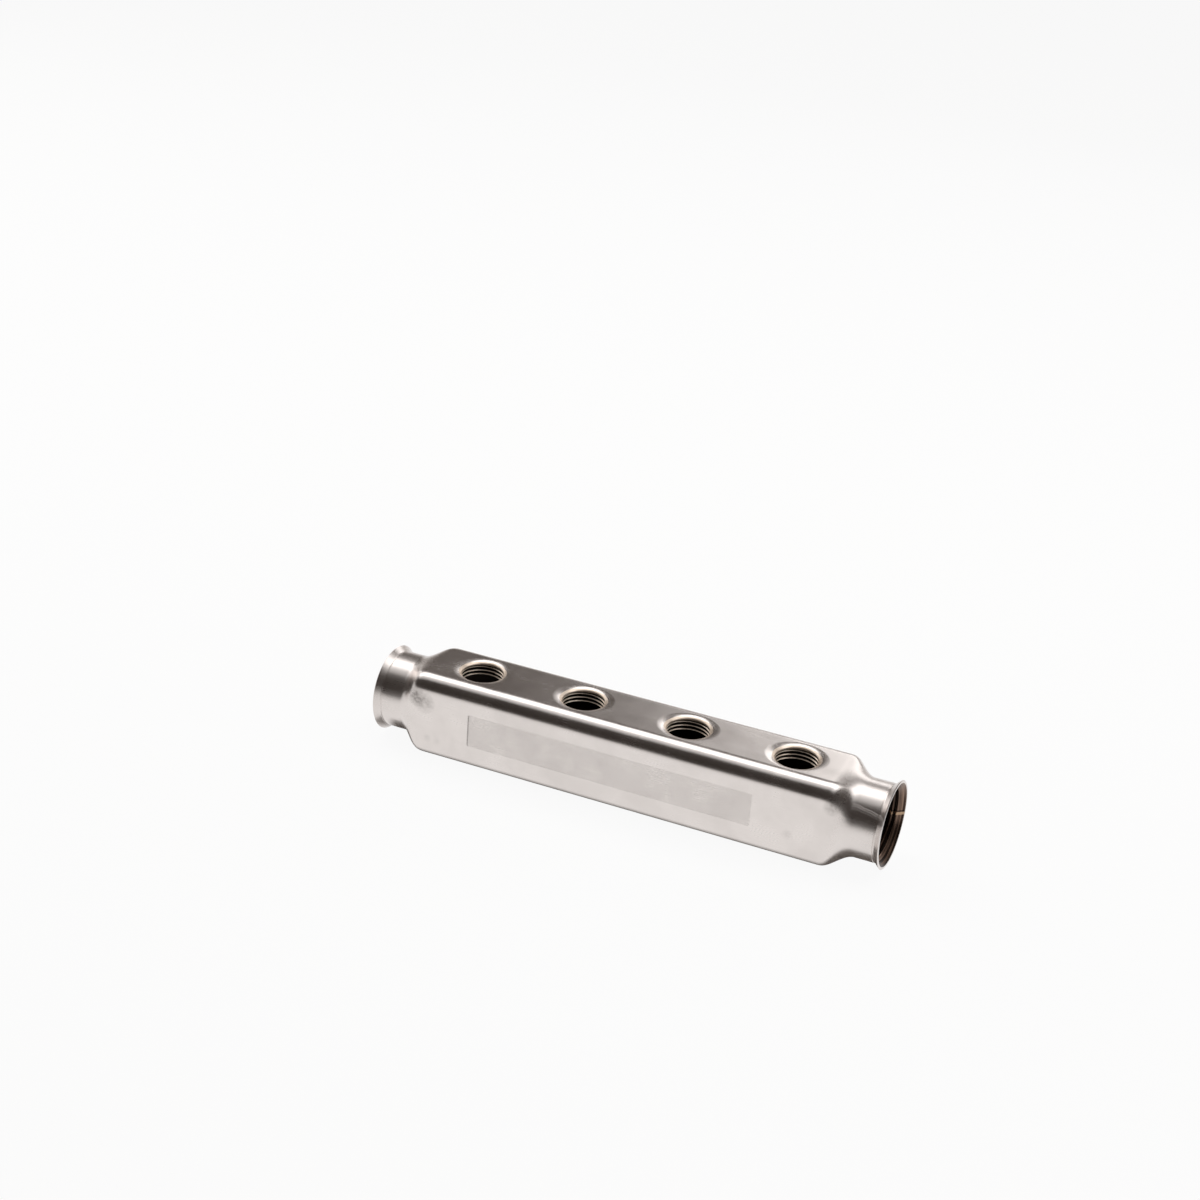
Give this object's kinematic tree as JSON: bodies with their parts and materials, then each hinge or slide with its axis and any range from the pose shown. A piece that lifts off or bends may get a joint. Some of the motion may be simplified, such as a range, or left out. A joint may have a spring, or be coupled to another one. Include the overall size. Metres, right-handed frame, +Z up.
{
  "type": "pipe manifold",
  "caption": "Straight stainless steel pipe manifold: a square tube with round flared threaded ends and a row of threaded ports drawn into its top face.",
  "frame": {"origin": "centre of the tube, on its axis and halfway between the two rims", "axes": "+X along the tube towards the end nearest the camera, +Z up out of the ports, -Y out of the front face that carries the film"},
  "size_m": [0.24, 0.0401, 0.04],
  "materials": {
    "steel": "satin stainless steel, lightly drawn along the tube",
    "film": "clear glossy film, blank"
  },
  "bodies": {
    "root": {"manifold_body": "steel", "label_film": "film"}
  },
  "joints": []
}
